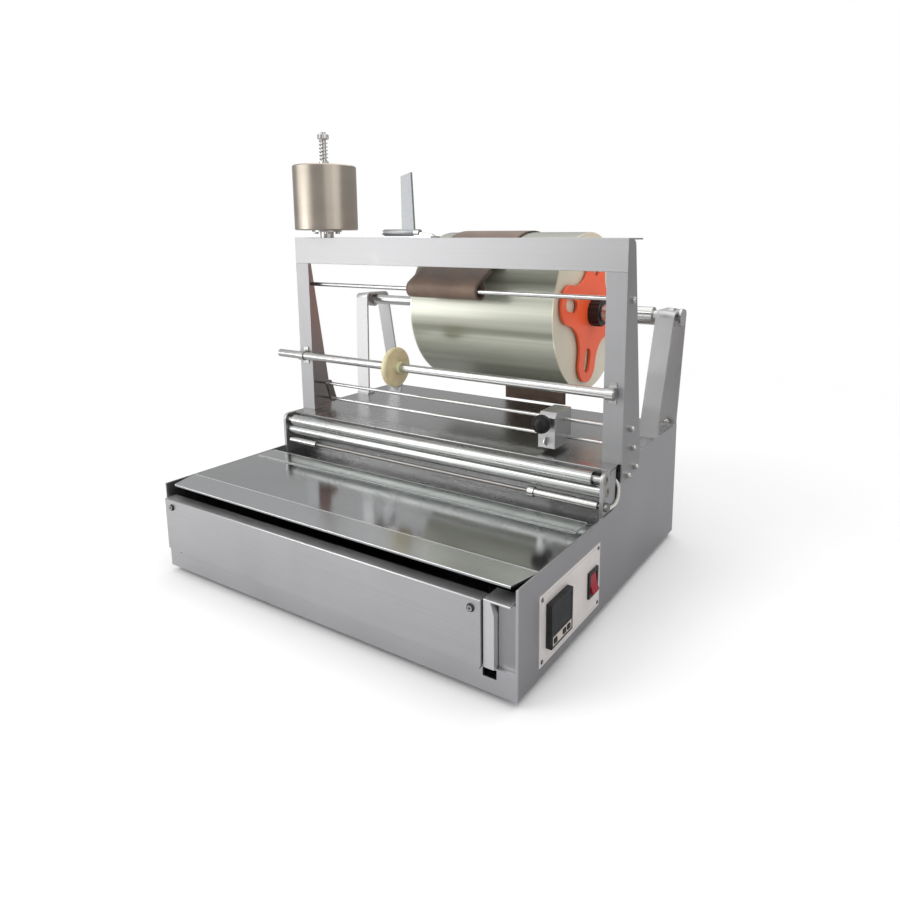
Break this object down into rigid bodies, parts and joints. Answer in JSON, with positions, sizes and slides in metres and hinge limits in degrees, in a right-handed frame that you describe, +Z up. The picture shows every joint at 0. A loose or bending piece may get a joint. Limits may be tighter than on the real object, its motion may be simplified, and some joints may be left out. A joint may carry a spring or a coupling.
{
  "type": "film overwrapping machine",
  "caption": "Bench-top hand overwrapper with a film roll, leather brake strap, tear-tape spool, feed rollers, heated cutting rod and sliding cutter.",
  "frame": {"origin": "middle of the machine's footprint, on the surface that its feet stand on", "axes": "+X to the operator's right along the rollers, +Y from the operator to the film roll, +Z up"},
  "size_m": [0.596, 0.5416, 0.598],
  "materials": {
    "stainless": "fine horizontal brushing",
    "table_steel": "near mirror",
    "bright_steel": "turned and polished",
    "label_white": "satin",
    "black_plastic": "fine grain",
    "smoked_window": "gloss",
    "key_grey": "soft",
    "switch_red": "gloss",
    "nylon": "turned",
    "orange_paint": "satin",
    "leather": "worn",
    "film": "wound film",
    "card": "wound card",
    "tape": "wound tape",
    "rubber": "moulded",
    "aluminium": "milled",
    "bronze": "sintered",
    "lead_white": "glass-fibre sleeve",
    "board_cream": "moulded"
  },
  "bodies": {
    "machine": {"base_shell": "stainless", "rear_deck": "stainless", "table_plate": "table_steel", "film_strip": "table_steel", "front_plate": "stainless", "front_cheek": "stainless", "bottom_cover": "stainless", "rubber_feet": "rubber", "control_plate": "label_white", "cover_screws": "bright_steel", "controller_body": "black_plastic", "controller_window": "smoked_window", "switch_body": "black_plastic", "frame_post_left": "stainless", "frame_post_right": "stainless", "frame_top_beam": "stainless", "frame_acorn_nuts": "bright_steel", "upper_film_rod": "bright_steel", "upper_rod_knob": "black_plastic", "tape_guide_bar": "bright_steel", "guide_bar_clips": "bright_steel", "cutter_rods": "bright_steel", "spool_base": "bright_steel", "spool_spindle": "bright_steel", "spool_pressure_cone": "bright_steel", "spool_spring": "bright_steel", "lever_bracket": "bright_steel", "stand_left": "stainless", "stand_right": "stainless", "brake_strap": "leather", "roller_bracket_left": "stainless", "roller_bracket_right": "stainless", "roller_bushes": "bronze", "cutting_rod": "bright_steel", "cutting_rod_sleeves": "bright_steel", "heater_lead": "lead_white", "heater_plate": "aluminium", "solid_state_relay": "aluminium", "terminal_block": "board_cream", "cable_gland": "black_plastic"},
    "film_roll_set": {"film_roll": "film", "film_core": "card", "roll_chuck_left": "orange_paint", "roll_chuck_right": "orange_paint", "chuck_nuts": "black_plastic", "roll_shaft": "bright_steel"},
    "tape_spool_set": {"tape_spool": "tape"},
    "brake_nut": {"spool_nut": "bright_steel"},
    "guide_wheel": {"tape_guide_wheel": "nylon"},
    "lower_roller": {"lower_feed_roller": "bright_steel"},
    "upper_roller": {"upper_feed_roller": "bright_steel"},
    "cutter": {"cutter_slider": "aluminium", "cutter_blade": "bright_steel", "cutter_knob": "black_plastic"},
    "lever": {"tape_lever": "bright_steel"},
    "key_set": {"controller_key_set": "key_grey"},
    "key_down": {"controller_key_down": "key_grey"},
    "key_up": {"controller_key_up": "key_grey"},
    "rocker": {"switch_rocker": "switch_red"}
  },
  "joints": [
    {"name": "film_roll_spin", "type": "hinge", "parent": "machine", "child": "film_roll_set", "pos_m": [0.039, 0.1534, 0.336], "axis": [1, 0, 0], "continuous": true},
    {"name": "tape_spool_spin", "type": "hinge", "parent": "machine", "child": "tape_spool_set", "pos_m": [-0.215, 0.0064, 0.455], "axis": [0, 0, 1], "continuous": true},
    {"name": "brake_nut_turn", "type": "hinge", "parent": "machine", "child": "brake_nut", "pos_m": [-0.215, 0.0064, 0.593], "axis": [0, 0, 1], "continuous": true},
    {"name": "guide_wheel_spin", "type": "hinge", "parent": "machine", "child": "guide_wheel", "pos_m": [-0.0595, -0.02416, 0.261], "axis": [1, 0, 0], "continuous": true},
    {"name": "lower_roller_spin", "type": "hinge", "parent": "machine", "child": "lower_roller", "pos_m": [0.011, -0.0496, 0.1487], "axis": [1, 0, 0], "continuous": true},
    {"name": "upper_roller_spin", "type": "hinge", "parent": "machine", "child": "upper_roller", "pos_m": [0.011, -0.0536, 0.1645], "axis": [1, 0, 0], "continuous": true},
    {"name": "cutter_slide", "type": "slide", "parent": "machine", "child": "cutter", "axis": [1, 0, 0], "range_m": [-0.385, 0.058]},
    {"name": "tape_lever_swing", "type": "hinge", "parent": "machine", "child": "lever", "pos_m": [-0.059, 0.0114, 0.45], "axis": [1, 0, 0], "range_deg": [-25, 60]},
    {"name": "key_set_press", "type": "slide", "parent": "machine", "child": "key_set", "axis": [-1, 0, 0], "range_m": [0, 0.0008], "stiffness_N_per_m": 400},
    {"name": "key_down_press", "type": "slide", "parent": "machine", "child": "key_down", "axis": [-1, 0, 0], "range_m": [0, 0.0008], "stiffness_N_per_m": 400},
    {"name": "key_up_press", "type": "slide", "parent": "machine", "child": "key_up", "axis": [-1, 0, 0], "range_m": [0, 0.0008], "stiffness_N_per_m": 400},
    {"name": "rocker_tilt", "type": "hinge", "parent": "machine", "child": "rocker", "pos_m": [0.2826, -0.0951, 0.0575], "axis": [0, 1, 0], "range_deg": [0, 24]}
  ],
  "couplings": [
    {"joint": "upper_roller_spin", "follows": "lower_roller_spin", "ratio": -1}
  ]
}
